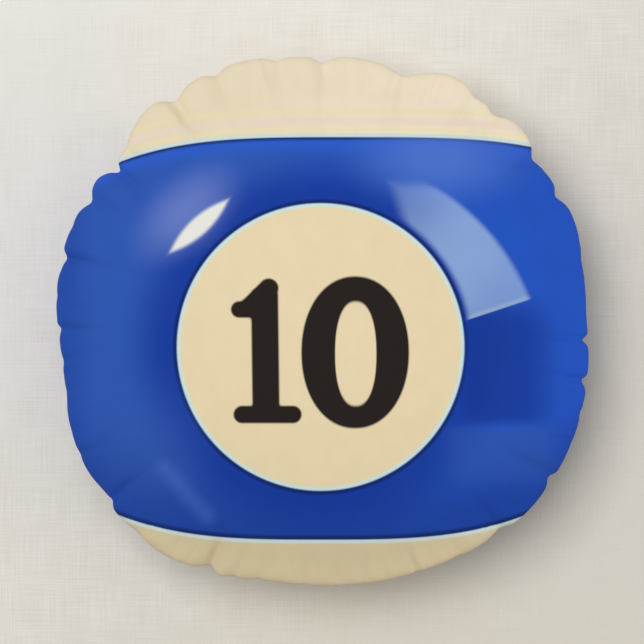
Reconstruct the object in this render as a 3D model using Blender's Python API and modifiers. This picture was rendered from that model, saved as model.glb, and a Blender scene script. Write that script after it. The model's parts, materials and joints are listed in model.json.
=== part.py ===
"""Round throw pillow: a removable two-panel cover with a curved concealed zip, over a stuffed insert.

The pillow lies on its back panel. +Z is up and out of the printed front, +Y is the print's up
direction, and the origin is the middle of the flattened patch that it rests on.
Units are metres. Angles in the tables are in degrees, counter-clockwise from +X.
"""

from math import atan2, ceil, cos, degrees, exp, floor, hypot, radians, sin, sqrt

import bmesh
import bpy

# ---------------------------------------------------------------- driving dimensions
RIM_RADIUS = 0.192  # mean radius of the stuffed rim; the panels are cut as 16 inch circles
BIAS_STRETCH = 0.024  # cloth gives on the bias, so the rim is this much fuller at 45 degrees
TOP_HEIGHT = 0.126
SEAM_HEIGHT = 0.058
LOBE_RISE = 0.010  # the panels are widest this far above and below the seam
REST_RADIUS = 0.070  # patch flattened by the pillow's own weight
DOME_POWER = 0.6
CLOTH = 0.0008
LINING = 0.0008

# The larger gathers of the rim: where, how deep, and how wide they are.
GATHERS = (
    (29, 0.003, 4), (38, 0.003, 4), (52, 0.004, 7), (71, 0.007, 8), (90, 0.004, 6), (113, 0.003, 4),
    (123, 0.006, 5), (143.5, 0.013, 5), (152.5, 0.004, 4), (166, 0.003, 4), (182, 0.003, 4),
    (347.5, 0.003, 4), (356, 0.003, 4),
)

# ---------------------------------------------------------------- the zip's track
# The slider runs on a circular arc about an upright axis, a little above the pillow's middle.
ZIP_AXIS_Y = 0.0275
ZIP_RIM_RADIUS = RIM_RADIUS * (1 - BIAS_STRETCH) + ZIP_AXIS_Y
ZIP_HALF_ARC = 43.0
ZIP_BLEND = 3.0  # the seam changes from plain to zipped over this angle
COIL_INSET = 0.012
COIL_RADIUS = ZIP_RIM_RADIUS - COIL_INSET
COIL_WIDTH = 0.0022
COIL_HEIGHT = 0.0011
COIL_GAP = 0.0003
TAPE = 0.0004
# The tape's section beside the coil, as (inset from the coil, distance from the seam plane).
TAPE_PROFILE = ((0.0014, 0.0008), (0.0032, 0.0008), (0.0046, 0.0029), (0.0118, 0.0029))
ARC_STEP = 3.0  # each facet of a coil or tape turns by about this angle
TOP_STOP = (0.0026, 0.0018, 0.0020)  # outwards, along the zip, upright
TOP_STOP_RISE = 0.0012
BOTTOM_STOP = (0.0026, 0.0018, 0.0044)
BAR_TACK = (0.0016, 0.0030, 0.0006)
BAR_TACK_INSET = 0.0024
BAR_TACK_ANGLE = 0.6  # from the tape's end
SLIDER_ANGLE = -50.0  # closed end, about the zip's axis
SLIDER_LENGTH = 0.009
SLIDER_CLEARANCE = 0.12  # degrees, about 0.4 mm, before the stops and the coils

# ---------------------------------------------------------------- seams
SEAM_GAP = 0.0005  # each panel's turned-in edge stays this far from the seam plane
ALLOWANCE_END = 0.018
THREAD_RADIUS = 0.0002
OVERLOCK_RADIUS = 0.0008
COVER_STITCH_INSET = 0.0080  # from the rim
OVERLOCK_GAP = 0.0011  # from the trimmed edges of the seam to the middle of the overlock
INSERT_CLEARANCE = 0.0022
FILL_CLEARANCE = 0.0060
INSERT_STITCH_INSET = 0.0335
INSERT_SEWN = (-75, 254)  # the insert's machine-sewn seam runs between these angles
INSERT_CLOSED = (260, 281)  # the opening that it was filled through, closed afterwards

STEPS = 60
DOME_FRACTIONS = (0.30, 0.55, 0.75, 0.89, 0.965, 1.0)
INNER_FRACTIONS = (0.40, 0.75, 0.965, 1.0)

# Turned-in edge of each panel, as (inset from the rim, distance from the seam plane).
PLAIN_EDGE = (
    (0.0008, 0.0060), (0.0030, 0.0028), (0.0050, 0.0012), (0.0065, SEAM_GAP),
    (0.0090, SEAM_GAP), (0.0120, SEAM_GAP), (ALLOWANCE_END, SEAM_GAP),
)
# Beside the zip: an open groove for the pull, two lips, and a tunnel that the slider runs in.
LIP_GAP = 0.0007
TUNNEL_HALF_HEIGHT = 0.0036
LIP_INSET = 0.0062
TUNNEL_INSET = 0.0086
ZIP_EDGE_END = 0.024
ZIP_EDGE = (
    (0.0010, 0.0068), (0.0035, 0.0046), (0.0058, TUNNEL_HALF_HEIGHT), (LIP_INSET, LIP_GAP),
    (TUNNEL_INSET, LIP_GAP), (TUNNEL_INSET + 0.0003, TUNNEL_HALF_HEIGHT),
    (ZIP_EDGE_END, TUNNEL_HALF_HEIGHT),
)
BACK_ZIP_RIM = (0.0050, 0.0055)  # the back panel stays this far inside the rim, clear of the pull
BACK_ZIP_EDGE = (
    (0.0053, 0.0047), (0.0056, 0.0041), (0.0058, TUNNEL_HALF_HEIGHT), (LIP_INSET, LIP_GAP),
    (TUNNEL_INSET, LIP_GAP), (TUNNEL_INSET + 0.0003, TUNNEL_HALF_HEIGHT),
    (ZIP_EDGE_END, TUNNEL_HALF_HEIGHT),
)
INSERT_EDGE = (
    (0.0090, 0.0078), (0.0125, 0.0064), (0.0260, 0.0056), (0.0290, 0.0016),
    (0.0310, SEAM_GAP), (0.0380, SEAM_GAP),
)
FILL_EDGE = ((0.0150, 0.0110), (0.0200, 0.0090), (0.0310, 0.0080), (0.0400, 0.0050), (0.0420, 0.0))

# ---------------------------------------------------------------- colours (linear RGB)
PRINT_BLUE = (0.018, 0.075, 0.42)
PRINT_CREAM = (0.78, 0.69, 0.50)
WHITE = (0.80, 0.80, 0.78)
GREY_METAL = (0.45, 0.46, 0.48)


# ================================================================ scene helpers
def clear_scene():
    for obj in list(bpy.data.objects):
        bpy.data.objects.remove(obj, do_unlink=True)


def new_collection(name):
    collection = bpy.data.collections.new(name)
    bpy.context.scene.collection.children.link(collection)
    return collection


def material(name, colour, roughness, metallic=0.0):
    made = bpy.data.materials.new(name)
    made.use_nodes = True
    shader = made.node_tree.nodes["Principled BSDF"]
    shader.inputs["Base Color"].default_value = (*colour, 1.0)
    shader.inputs["Roughness"].default_value = roughness
    shader.inputs["Metallic"].default_value = metallic
    return made


def add(name, data, finish, parent=None):
    """Links a new object holding data, with its material."""
    data.materials.append(finish)
    obj = bpy.data.objects.new(name, data)
    PILLOW.objects.link(obj)
    obj.parent = parent
    return obj


def empty(name, location, spin=0.0):
    obj = bpy.data.objects.new(name, None)
    PILLOW.objects.link(obj)
    obj.location = location
    obj.rotation_euler = (0, 0, radians(spin))
    return obj


def mesh_from(name, bm):
    mesh = bpy.data.meshes.new(name)
    bm.to_mesh(mesh)
    bm.free()
    return mesh


def solidify(obj, thickness):
    """Gives an open surface its thickness on the side away from its normals."""
    made = obj.modifiers.new("Solidify", "SOLIDIFY")
    made.thickness = thickness
    made.offset = -1
    made.use_even_offset = True


def unite(obj, *others):
    """Joins others into obj with exact Booleans and hides them as helpers."""
    for other in others:
        joined = obj.modifiers.new("Join " + other.name, "BOOLEAN")
        joined.operation = "UNION"
        joined.object = other
        as_helper(other)


def cut(obj, cutter):
    cutting = obj.modifiers.new("Cut " + cutter.name, "BOOLEAN")
    cutting.operation = "DIFFERENCE"
    cutting.object = cutter
    as_helper(cutter)


def as_helper(obj):
    obj.hide_render = True
    obj.display_type = "WIRE"
    PILLOW.objects.unlink(obj)
    CUTTERS.objects.link(obj)


# ================================================================ the pillow's form
def gather_depth(angle):
    total = 0.0
    for at, depth, width in GATHERS:
        away = (angle - at + 180) % 360 - 180
        total += depth * exp(-((away / width) ** 2))
    return total


def rim_radius(angle):
    """Outline of the stuffed front panel, seen from above."""
    return RIM_RADIUS * (1 - BIAS_STRETCH * cos(radians(4 * angle))) - gather_depth(angle)


def zip_circle(angle, inset):
    """Distance from the pillow's middle to the zip's circle, inset from the rim there."""
    turn = radians(angle)
    radius = ZIP_RIM_RADIUS - inset
    return ZIP_AXIS_Y * sin(turn) + sqrt(radius**2 - (ZIP_AXIS_Y * cos(turn)) ** 2)


def zip_share(angle):
    """1 along the zip, 0 along the plain seam, smooth between."""
    radius = zip_circle(angle, COIL_INSET)
    x, y = radius * cos(radians(angle)), radius * sin(radians(angle)) - ZIP_AXIS_Y
    away = abs(((degrees(atan2(y, x)) + 90 + 180) % 360) - 180)
    t = min(1.0, max(0.0, (ZIP_HALF_ARC + 2 * ZIP_BLEND - away) / ZIP_BLEND))
    return t * t * (3 - 2 * t)


def mix(a, b, share):
    return a + (b - a) * share


def edge_point(angle, plain, zipped):
    """A point of a turned-in edge, as (radius, distance from the seam plane)."""
    share = zip_share(angle)
    radius = mix(rim_radius(angle) - plain[0], zip_circle(angle, zipped[0]), share)
    return radius, mix(plain[1], zipped[1], share)


def front_rise(fraction):
    """Height of the front dome above its widest line."""
    return (TOP_HEIGHT - SEAM_HEIGHT - LOBE_RISE) * (1 - fraction**2) ** DOME_POWER


def offset_inwards(points, distance):
    """Moves each point of a section towards the inside, square to the section."""
    moved = []
    for i, (r, z) in enumerate(points):
        before, after = points[max(i - 1, 0)], points[min(i + 1, len(points) - 1)]
        along = (after[0] - before[0], after[1] - before[1])
        length = hypot(*along)
        moved.append((r + along[1] / length * distance, z - along[0] / length * distance))
    return moved


def front_dome(angle, fractions=DOME_FRACTIONS):
    rim = rim_radius(angle)
    return [(f * rim, SEAM_HEIGHT + LOBE_RISE + front_rise(f)) for f in fractions]


def back_dome(angle, fractions=DOME_FRACTIONS):
    """From the edge of the flat patch out to the back panel's widest line."""
    rim, drop = edge_point(angle, (0.0, LOBE_RISE), BACK_ZIP_RIM)
    widest = SEAM_HEIGHT - drop
    points = []
    for f in (0.0, *fractions):
        points.append((mix(REST_RADIUS, rim, f), widest * (1 - (1 - f**2) ** DOME_POWER)))
    return points


def cover_front_section(angle):
    edge = [edge_point(angle, a, b) for a, b in zip(PLAIN_EDGE, ZIP_EDGE)]
    return front_dome(angle) + [(r, SEAM_HEIGHT + h) for r, h in edge]


def cover_back_section(angle):
    edge = [edge_point(angle, a, b) for a, b in zip(PLAIN_EDGE, BACK_ZIP_EDGE)]
    return back_dome(angle) + [(r, SEAM_HEIGHT - h) for r, h in edge]


def inner_section(angle, side, clearance, edge_points):
    """A dome of the insert or its filling, inside the cover, with its own turned-in edge."""
    if side > 0:
        dome = offset_inwards(front_dome(angle, INNER_FRACTIONS), clearance)
    else:
        flipped = [(r, -z) for r, z in back_dome(angle, INNER_FRACTIONS)]
        dome = [(r, -z) for r, z in offset_inwards(flipped, clearance)]
        dome[0] = (dome[0][0], clearance)
    edge = [edge_point(angle, point, point) for point in edge_points]
    return dome[:-1] + [(r, SEAM_HEIGHT + side * h) for r, h in edge]


# ================================================================ lofts
def loft(section_at, pole_height, outward_up, angles=None):
    """Surface through a section at each angle. With no angles it goes all round, with a pole."""
    bm = bmesh.new()
    whole = angles is None
    turns = [360 * i / STEPS for i in range(STEPS)] if whole else angles
    rings = []
    for angle in turns:
        turn = radians(angle)
        rings.append([bm.verts.new((r * cos(turn), r * sin(turn), z)) for r, z in section_at(angle)])
    pairs = list(zip(rings, rings[1:] + rings[:1])) if whole else list(zip(rings, rings[1:]))
    pole = bm.verts.new((0, 0, pole_height)) if whole else None
    for here, there in pairs:
        corners = [(here[i], here[i + 1], there[i + 1], there[i]) for i in range(len(here) - 1)]
        if pole:
            corners.append((pole, here[0], there[0]))
        for face in corners:
            bm.faces.new(face if outward_up else face[::-1])
    return bm


def panel(name, section_at, pole_height, side, thickness, finish):
    obj = add(name, mesh_from(name, loft(section_at, pole_height, side > 0)), finish)
    solidify(obj, thickness)
    return obj


def cover_panels():
    cloth = material("printed brushed polyester", PRINT_BLUE, 0.85)
    plain = material("printed brushed polyester, back", PRINT_CREAM, 0.85)
    panel("cover_front", cover_front_section, TOP_HEIGHT, 1, CLOTH, cloth)
    panel("cover_back", cover_back_section, 0.0, -1, CLOTH, plain)


def insert():
    lining = material("white lining", WHITE, 0.9)
    wadding = material("polyester fibre filling", WHITE, 1.0)
    for name, side, pole in (
        ("insert_front", 1, TOP_HEIGHT - INSERT_CLEARANCE),
        ("insert_back", -1, INSERT_CLEARANCE),
    ):
        panel(
            name,
            lambda angle, side=side: inner_section(angle, side, INSERT_CLEARANCE, INSERT_EDGE),
            pole, side, LINING, lining,
        )
    upper = loft(
        lambda angle: inner_section(angle, 1, FILL_CLEARANCE, FILL_EDGE),
        TOP_HEIGHT - FILL_CLEARANCE, True,
    )
    lower = loft(
        lambda angle: inner_section(angle, -1, FILL_CLEARANCE, FILL_EDGE), FILL_CLEARANCE, False
    )
    half = bpy.data.meshes.new("lower half")
    lower.to_mesh(half)
    lower.free()
    upper.from_mesh(half)
    bpy.data.meshes.remove(half)
    bmesh.ops.remove_doubles(upper, verts=upper.verts, dist=1e-6)
    add("insert_filling", mesh_from("insert_filling", upper), wadding)


# ================================================================ threads, tapes and coils
def tube(name, points, radius, finish, closed=False):
    curve = bpy.data.curves.new(name, "CURVE")
    curve.dimensions = "3D"
    curve.bevel_depth = radius
    curve.bevel_resolution = 0
    curve.use_fill_caps = not closed
    spline = curve.splines.new("POLY")
    spline.points.add(len(points) - 1)
    for slot, point in zip(spline.points, points):
        slot.co = (*point, 1.0)
    spline.use_cyclic_u = closed
    return add(name, curve, finish)


def seam_line(inset, first, last):
    """Points along the plain seam at the panels' own steps, at a fixed inset from the rim."""
    step = 360 / STEPS
    points = []
    for i in range(ceil(first / step), floor(last / step) + 1):
        turn = radians(i * step)
        radius = rim_radius(i * step) - inset
        points.append((radius * cos(turn), radius * sin(turn), SEAM_HEIGHT))
    return points


def polar_of_zip(zip_angle):
    """Angle about the pillow's middle of a place on the coil, given about the zip's axis."""
    x = COIL_RADIUS * cos(radians(zip_angle))
    y = ZIP_AXIS_Y + COIL_RADIUS * sin(radians(zip_angle))
    return degrees(atan2(y, x))


def threads():
    cream = material("polyester thread", PRINT_CREAM, 0.7)
    white = material("white thread", WHITE, 0.7)
    overhang = ZIP_HALF_ARC + 2 * ZIP_BLEND
    first, last = polar_of_zip(-90 + overhang), polar_of_zip(-90 - overhang) + 360
    tube("cover_seam_thread", seam_line(COVER_STITCH_INSET, first, last), THREAD_RADIUS, cream)
    overlock = seam_line(ALLOWANCE_END + OVERLOCK_GAP, first, last)
    tube("cover_overlock", overlock, OVERLOCK_RADIUS, cream)
    sewn = seam_line(INSERT_STITCH_INSET, *INSERT_SEWN)
    tube("insert_seam_thread", sewn, THREAD_RADIUS, white)
    closed = seam_line(INSERT_STITCH_INSET, *INSERT_CLOSED)
    tube("insert_closing_thread", closed, THREAD_RADIUS, white)


def arc_band(name, inner, outer, first, last, height, thickness, finish):
    """A flat strip along the zip's arc, centred at a height above the seam plane."""
    count = max(2, round((last - first) / ARC_STEP))
    angles = [radians(mix(first, last, i / count)) for i in range(count + 1)]
    outline = [(outer * cos(a), outer * sin(a)) for a in angles]
    outline += [(inner * cos(a), inner * sin(a)) for a in reversed(angles)]
    curve = bpy.data.curves.new(name, "CURVE")
    curve.dimensions = "2D"
    curve.fill_mode = "BOTH"
    curve.extrude = thickness / 2
    spline = curve.splines.new("POLY")
    spline.points.add(len(outline) - 1)
    for slot, point in zip(spline.points, outline):
        slot.co = (*point, 0.0, 1.0)
    spline.use_cyclic_u = True
    obj = add(name, curve, finish)
    obj.location = (0, ZIP_AXIS_Y, SEAM_HEIGHT + height)


def tape(name, side, finish):
    """Woven tape: beside the coil it lies low, then it climbs to the panel that it is sewn to."""
    bm = bmesh.new()
    verts = [bm.verts.new((COIL_RADIUS - inset, 0, side * rise)) for inset, rise in TAPE_PROFILE]
    for a, b in zip(verts, verts[1:]):
        bm.edges.new((a, b))
    obj = add(name, mesh_from(name, bm), finish)
    obj.location = (0, ZIP_AXIS_Y, SEAM_HEIGHT)
    obj.rotation_euler = (0, 0, radians(-90 - ZIP_HALF_ARC))
    turn = obj.modifiers.new("Screw", "SCREW")
    turn.angle = radians(2 * ZIP_HALF_ARC)
    turn.steps = turn.render_steps = round(2 * ZIP_HALF_ARC / ARC_STEP)
    turn.use_merge_vertices = False
    turn.use_normal_calculate = False
    body = obj.modifiers.new("Solidify", "SOLIDIFY")
    body.thickness = TAPE
    body.offset = 0


def box(name, size, centre, finish, parent=None):
    bm = bmesh.new()
    bmesh.ops.create_cube(bm, size=1.0)
    bmesh.ops.scale(bm, vec=size, verts=bm.verts)
    bmesh.ops.translate(bm, vec=centre, verts=bm.verts)
    return add(name, mesh_from(name, bm), finish, parent)


def cylinder(name, radius, low, high, centre, finish, parent=None, sides=24):
    """An upright cylinder between two heights."""
    bm = bmesh.new()
    bmesh.ops.create_cone(
        bm, cap_ends=True, segments=sides, radius1=radius, radius2=radius, depth=high - low
    )
    bmesh.ops.translate(bm, vec=(centre[0], centre[1], (low + high) / 2), verts=bm.verts)
    return add(name, mesh_from(name, bm), finish, parent)


def on_track(name, zip_angle):
    """A frame on the coil: +X points out of the pillow and +Y runs along the zip."""
    return empty(
        name,
        (
            COIL_RADIUS * cos(radians(zip_angle)),
            ZIP_AXIS_Y + COIL_RADIUS * sin(radians(zip_angle)),
            SEAM_HEIGHT,
        ),
        zip_angle,
    )


def zip_chain():
    nylon = material("nylon coil", PRINT_BLUE, 0.45)
    woven = material("woven zip tape", PRINT_BLUE, 0.9)
    metal = material("zip metal", GREY_METAL, 0.35, 1.0)
    thread = material("bar-tack thread", PRINT_BLUE, 0.7)
    half_turn = degrees(SLIDER_LENGTH / 2 / COIL_RADIUS)
    half_stop = degrees(TOP_STOP[1] / 2 / COIL_RADIUS)
    right = SLIDER_ANGLE + half_turn + SLIDER_CLEARANCE
    left = -180 - right
    rise = COIL_GAP / 2 + COIL_HEIGHT / 2
    for side, where in ((1, "front"), (-1, "back")):
        arc_band(
            f"zip_coil_{where}", COIL_RADIUS - COIL_WIDTH / 2, COIL_RADIUS + COIL_WIDTH / 2,
            left, right, side * rise, COIL_HEIGHT, nylon,
        )
        tape(f"zip_tape_{where}", side, woven)
        frame = on_track(f"top stop frame {where}", right + SLIDER_CLEARANCE + half_stop)
        box(f"zip_top_stop_{where}", TOP_STOP, (0, 0, side * TOP_STOP_RISE), metal, frame)
    frame = on_track("bottom stop frame", left - SLIDER_CLEARANCE - half_stop)
    box("zip_bottom_stop", BOTTOM_STOP, (0, 0, 0), metal, frame)
    tacked = ZIP_HALF_ARC - BAR_TACK_ANGLE
    for where, zip_angle in (("left", -90 - tacked), ("right", -90 + tacked)):
        frame = on_track(f"bar tack frame {where}", zip_angle)
        box(f"zip_bar_tack_{where}", BAR_TACK, (-BAR_TACK_INSET, 0, 0), thread, frame)


# ================================================================ slider and pull
CHANNEL_HALF_WIDTH = 0.0014
CHANNEL_HALF_HEIGHT = 0.0016
SLIDER_WALL = 0.0010
TAPE_SLOT = 0.0013
NECK_HALF_HEIGHT = 0.0004
NECK_LENGTH = 0.0050
WEB_START = 0.0066
BAIL_REACH = 0.0088  # the pull's pin, out from the coil
LUG_INNER = 0.0017
LUG_OUTER = 0.0025
PIN_RADIUS = 0.0006
EYE_BORE = 0.0009
EYE_RADIUS = 0.0015
PULL_LENGTH = 0.017
PULL_HALF_WIDTH = 0.0026
PULL_THICKNESS = 0.0010
PULL_NECK_HALF_WIDTH = 0.0013
PULL_NECK_END = 0.0036  # from here the pull widens
PULL_BLADE_START = 0.0058
WEB_DEPTH = 0.0006
PLAY = 0.0003  # between the pull's eye and the lugs


def slider():
    metal = material("slider metal", GREY_METAL, 0.3, 1.0)
    frame = on_track("slider frame", SLIDER_ANGLE)
    outer = CHANNEL_HALF_WIDTH + SLIDER_WALL
    height = CHANNEL_HALF_HEIGHT + SLIDER_WALL
    body = box(
        "zip_slider", (2 * outer, SLIDER_LENGTH, 2 * height), (0, 0, 0), metal, frame
    )
    rounding = body.modifiers.new("Bevel", "BEVEL")
    rounding.width = 0.0005
    rounding.segments = 2
    channel = box(
        "slider channel", (2 * CHANNEL_HALF_WIDTH, 2 * SLIDER_LENGTH, 2 * CHANNEL_HALF_HEIGHT),
        (0, 0, 0), metal, frame,
    )
    slot = box(
        "tape slot", (2 * outer, 2 * SLIDER_LENGTH, 2 * TAPE_SLOT), (-outer, 0, 0), metal, frame
    )
    cut(body, channel)
    cut(body, slot)
    neck_start = outer - SLIDER_WALL / 2
    neck_end = WEB_START + WEB_DEPTH / 2
    neck = box(
        "slider neck", (neck_end - neck_start, NECK_LENGTH, 2 * NECK_HALF_HEIGHT),
        ((neck_start + neck_end) / 2, 0, 0), metal, frame,
    )
    web = box(
        "slider web", (WEB_DEPTH, NECK_LENGTH * 0.7, 2 * LUG_OUTER - 0.0002),
        (WEB_START + WEB_DEPTH / 2, 0, 0), metal, frame,
    )
    lug_end = BAIL_REACH + PIN_RADIUS + 0.0004
    lugs = []
    for side in (1, -1):
        lugs.append(
            box(
                f"slider lug {side}", (lug_end - WEB_START, NECK_LENGTH * 0.5, LUG_OUTER - LUG_INNER),
                ((lug_end + WEB_START) / 2, 0, side * (LUG_INNER + LUG_OUTER) / 2), metal, frame,
            )
        )
    pin = cylinder(
        "slider pin", PIN_RADIUS, -LUG_OUTER + 0.0003, LUG_OUTER - 0.0003, (BAIL_REACH, 0), metal, frame
    )
    unite(body, neck, web, *lugs, pin)


def pull():
    """The pull lies back along the closed zip, in the groove, and turns about the slider's pin."""
    metal = material("pull metal", GREY_METAL, 0.3, 1.0)
    frame = on_track("pull track frame", SLIDER_ANGLE)
    hinge = empty("pull hinge", (BAIL_REACH, 0, 0))
    hinge.parent = frame
    neck, width = PULL_NECK_HALF_WIDTH, PULL_HALF_WIDTH
    tip = PULL_LENGTH - width
    outline = [(EYE_BORE, -neck), (PULL_NECK_END, -neck), (PULL_BLADE_START, -width)]
    outline += [(tip + width * sin(radians(t)), -width * cos(radians(t))) for t in range(0, 181, 20)]
    outline += [(PULL_BLADE_START, width), (PULL_NECK_END, neck), (EYE_BORE, neck)]
    # Its length runs back along the zip (-Y), its width upright and its thickness outwards.
    bm = bmesh.new()
    bm.faces.new([bm.verts.new((0, -along, up)) for along, up in outline])
    tab = add("zip_pull", mesh_from("zip_pull", bm), metal, hinge)
    solidify(tab, PULL_THICKNESS)
    tab.modifiers["Solidify"].offset = 0
    eye_height = LUG_INNER - PLAY
    eye = cylinder("pull eye", EYE_RADIUS, -eye_height, eye_height, (0, 0), metal, hinge)
    bore = cylinder("pull bore", EYE_BORE, -2 * LUG_OUTER, 2 * LUG_OUTER, (0, 0), metal, hinge)
    unite(tab, eye)
    cut(tab, bore)


# ================================================================ care label
LABEL_ANGLES = (204.0, 206.0, 208.0, 210.0)
LABEL_GAP = 0.0005
LABEL_THICKNESS = 0.0005


def care_label():
    """A blank folded ribbon, caught in the seam and lying on the back panel."""
    satin = material("satin ribbon", WHITE, 0.5)

    def section(angle):
        dome = back_dome(angle)
        rising = [(r, z) for r, z in cover_back_section(angle) if r >= dome[-4][0]]
        start = len(rising) - len(PLAIN_EDGE)
        strip = rising[: start + 4]
        flipped = [(r, -z) for r, z in strip]
        return [(r, -z) for r, z in offset_inwards(flipped, -LABEL_GAP - LABEL_THICKNESS)]

    surface = loft(section, 0.0, False, angles=LABEL_ANGLES)
    obj = add("care_label", mesh_from("care_label", surface), satin)
    solidify(obj, LABEL_THICKNESS)


# ================================================================ build
clear_scene()
PILLOW = new_collection("round throw pillow")
CUTTERS = new_collection("cutters")
cover_panels()
insert()
threads()
zip_chain()
slider()
pull()
care_label()
for made in PILLOW.objects:
    if made.type == "MESH":
        made.data.shade_smooth()
        made.data.set_sharp_from_angle(angle=radians(40))
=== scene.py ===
"""Looks of the round throw pillow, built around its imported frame.

The pillow lies on its back: +Z is out of the printed front, +Y is the print's up direction.
Lengths are metres, except in the print, whose pattern is laid out in millimetres.
"""
import json
from math import cos, pi, radians, sin

import bmesh
import bpy
import numpy as np
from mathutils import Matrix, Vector


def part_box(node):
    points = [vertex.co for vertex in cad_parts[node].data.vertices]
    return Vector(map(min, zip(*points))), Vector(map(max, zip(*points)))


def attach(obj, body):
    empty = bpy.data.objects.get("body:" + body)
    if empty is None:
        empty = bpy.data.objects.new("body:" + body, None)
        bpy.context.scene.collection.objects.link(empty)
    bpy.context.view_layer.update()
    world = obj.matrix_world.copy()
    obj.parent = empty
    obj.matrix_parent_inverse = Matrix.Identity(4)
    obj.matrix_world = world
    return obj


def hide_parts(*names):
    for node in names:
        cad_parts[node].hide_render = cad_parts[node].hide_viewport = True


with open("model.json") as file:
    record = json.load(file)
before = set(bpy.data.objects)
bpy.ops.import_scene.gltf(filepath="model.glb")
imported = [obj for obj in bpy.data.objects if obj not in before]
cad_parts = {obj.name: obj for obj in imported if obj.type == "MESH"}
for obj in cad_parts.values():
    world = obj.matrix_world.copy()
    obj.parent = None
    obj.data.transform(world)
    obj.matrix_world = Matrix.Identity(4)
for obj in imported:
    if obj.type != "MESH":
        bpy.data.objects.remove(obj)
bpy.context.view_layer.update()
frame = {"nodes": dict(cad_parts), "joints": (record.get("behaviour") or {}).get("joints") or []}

scene = bpy.context.scene

# ---------------------------------------------------------------- sizes taken from the frame
JOINTS = {joint["name"]: joint for joint in frame["joints"]}
ZIP_AXIS_Y, SEAM_HEIGHT = JOINTS["slider_travel"]["pos_m"][1:]
TOP_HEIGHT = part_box("cover_front")[1].z

# ---------------------------------------------------------------- sizes repeated from the design
DESIGN_RIM_RADIUS = 0.192
RIM_RADIUS = 0.1945  # the cloth swells out a little past the design's rim between the gathers
BIAS_STRETCH = 0.024  # the weave gives more on the slant, so the outline is slightly square
ZIP_RIM_RADIUS = DESIGN_RIM_RADIUS * (1 - BIAS_STRETCH) + ZIP_AXIS_Y
ZIP_HALF_ARC = radians(43.0)
ZIP_BLEND = radians(3.0)
COIL_INSET = 0.012
COIL_RADIUS = ZIP_RIM_RADIUS - COIL_INSET
CLOTH = 0.0007
CUT_RADIUS = 0.2035  # the seam line's radius in the flat panel

# Gathers of the rim: where (degrees from +X), how deep (millimetres), and how far each one
# reaches clockwise and anticlockwise (degrees).
GATHERS = (
    (13.5, 0.8, 2.5, 2.0), (28.3, 4.0, 2.2, 1.4), (38, 5.2, 3.0, 1.2), (50.5, 7.2, 3.4, 3.0),
    (55.5, 5.0, 2.5, 2.6), (71.5, 9.0, 4.0, 4.6), (90, 5.0, 3.0, 2.0), (99.8, 2.8, 1.6, 1.6),
    (113.5, 4.2, 2.2, 1.6), (123.5, 7.2, 2.6, 2.2), (139, 7.0, 5.0, 4.0),
    (143.4, 10.0, 1.6, 1.8), (152.5, 5.0, 1.8, 2.0), (159, 0.8, 1.2, 1.2),
    (165.8, 4.4, 0.9, 2.6), (174.5, 0.5, 1.0, 1.0), (181.3, 2.6, 0.8, 1.6),
    (188.5, 1.2, 1.4, 1.6), (195.5, 1.2, 2.0, 1.6), (208.5, 0.7, 1.0, 1.0),
    (220.2, 6.0, 4.0, 0.7), (229.0, 1.2, 2.2, 1.0), (245.5, 6.0, 1.8, 1.2),
    (251, 2.2, 1.8, 0.8), (256, 1.2, 1.5, 1.0), (266, 0.9, 1.0, 1.0), (279, 0.6, 0.9, 0.9),
    (291, 0.9, 1.0, 1.0), (300, 0.7, 1.0, 1.0), (310.7, 3.4, 3.0, 2.0), (325.7, 3.2, 1.6, 0.9),
    (334, 0.4, 1.2, 1.2), (340.3, 1.0, 1.4, 1.4), (347.4, 4.0, 1.1, 0.7),
    (356.1, 5.4, 0.8, 0.7),
)
# Slow unevenness of the stuffing: where, how far the rim swells out there (millimetres), how wide.
SWELLS = (
    (1, -1.5, 5), (10, -2.0, 9), (34, -6.0, 9), (61, 1.5, 6), (79, -1.6, 6), (95, -1.2, 5),
    (107, 0.8, 7), (121, -2.2, 6), (146, -8.0, 15), (190, -4.2, 11), (236, 2.2, 6), (249, 2.0, 5),
    (257, -1.6, 8), (272, -2.6, 30), (300, -3.5, 14), (340, 1.6, 13),
)

# ---------------------------------------------------------------- the cloth
CREASE_DEPTH = 0.0016
CREASE_LENGTH = 0.016
CREASE_WIDTH = 1.1  # degrees
CREASE_BEND = 60.0  # degrees sideways for each metre inwards
RIPPLES = ((41, 0.7), (67, 2.1), (101, 4.0))  # how many go round the rim, and where they start
RIPPLE_DEPTH = 0.00028
RIPPLE_SLANT = 25  # radians for each metre inwards

SEAM_INSET = 0.0050  # the seam is tucked in this far under the rim
LIP_INSET = 0.0062  # and so are the lips beside the zip
FRONT_ZIP_INSET = 0.001  # the front panel comes out over the zip, nearly to the rim
BACK_ZIP_INSET = 0.0050
SEAM_GAP = 0.0006  # from the seam's plane to the cloth
LIP_GAP = 0.0008

START_HEIGHT = 0.058  # of the dome that a panel is blown up from
FRONT_PRESSURE = 4.0
BACK_PRESSURE = 3.5
CLOTH_FRAMES = 20
BACK_SPARE = 0.005  # the back's dome would reach this far below the floor
FLOOR_ROUNDING = 0.0045  # and is flattened over this width where it rests
SECTORS = 480  # directions in which the outline is measured
GRID = 72  # cells from a panel's middle to its seam

PRINT_SPREAD = 0.62  # the print widens by this share per metre of height above PRINT_LEVEL
PRINT_LEVEL = 0.010


# ================================================================ small helpers
def smooth_share(low, high, value):
    """0 below low, 1 above high, smooth between."""
    t = np.clip((np.asarray(value, float) - low) / (high - low), 0, 1)
    return t * t * (3 - 2 * t)


def mix(a, b, share):
    """a where the share is 0, b where it is 1."""
    return a + (b - a) * share


def around(radius, turn, height):
    """Points at a distance from the upright axis, a turn about it and a height."""
    return np.stack([radius * np.cos(turn), radius * np.sin(turn), height + 0 * radius], -1)


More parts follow.
